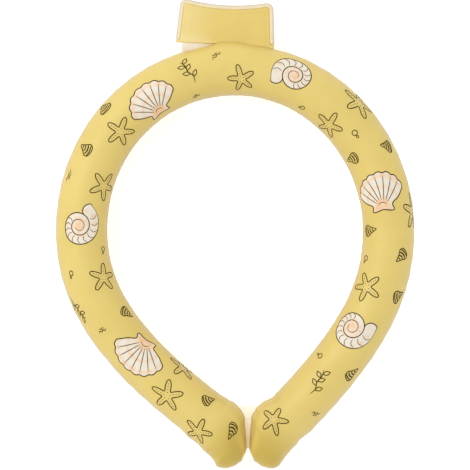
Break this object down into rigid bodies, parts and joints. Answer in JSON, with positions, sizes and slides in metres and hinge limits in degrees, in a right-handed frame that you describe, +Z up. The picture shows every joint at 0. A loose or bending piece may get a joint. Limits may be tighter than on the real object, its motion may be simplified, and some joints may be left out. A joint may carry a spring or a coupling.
{
  "type": "cooling neck ring",
  "caption": "Soft filled film tube bent into an open ring for the neck, with a flat welded tab at the back and a clear film web between its two ends.",
  "frame": {"origin": "on the surface the ring lies on, under the middle of its outline's box", "axes": "+Z up from the surface, +Y from the two ends towards the back tab, +X across the ring to the right as seen from above"},
  "size_m": [0.169, 0.2208, 0.0243],
  "materials": {
    "yellow_film": "satin",
    "clear_film": "clear satin"
  },
  "bodies": {
    "root": {"ring_tube": "yellow_film", "back_tab": "yellow_film", "tab_clear_edge": "clear_film", "tab_clear_strip": "clear_film", "front_clear_web": "clear_film"}
  },
  "joints": []
}
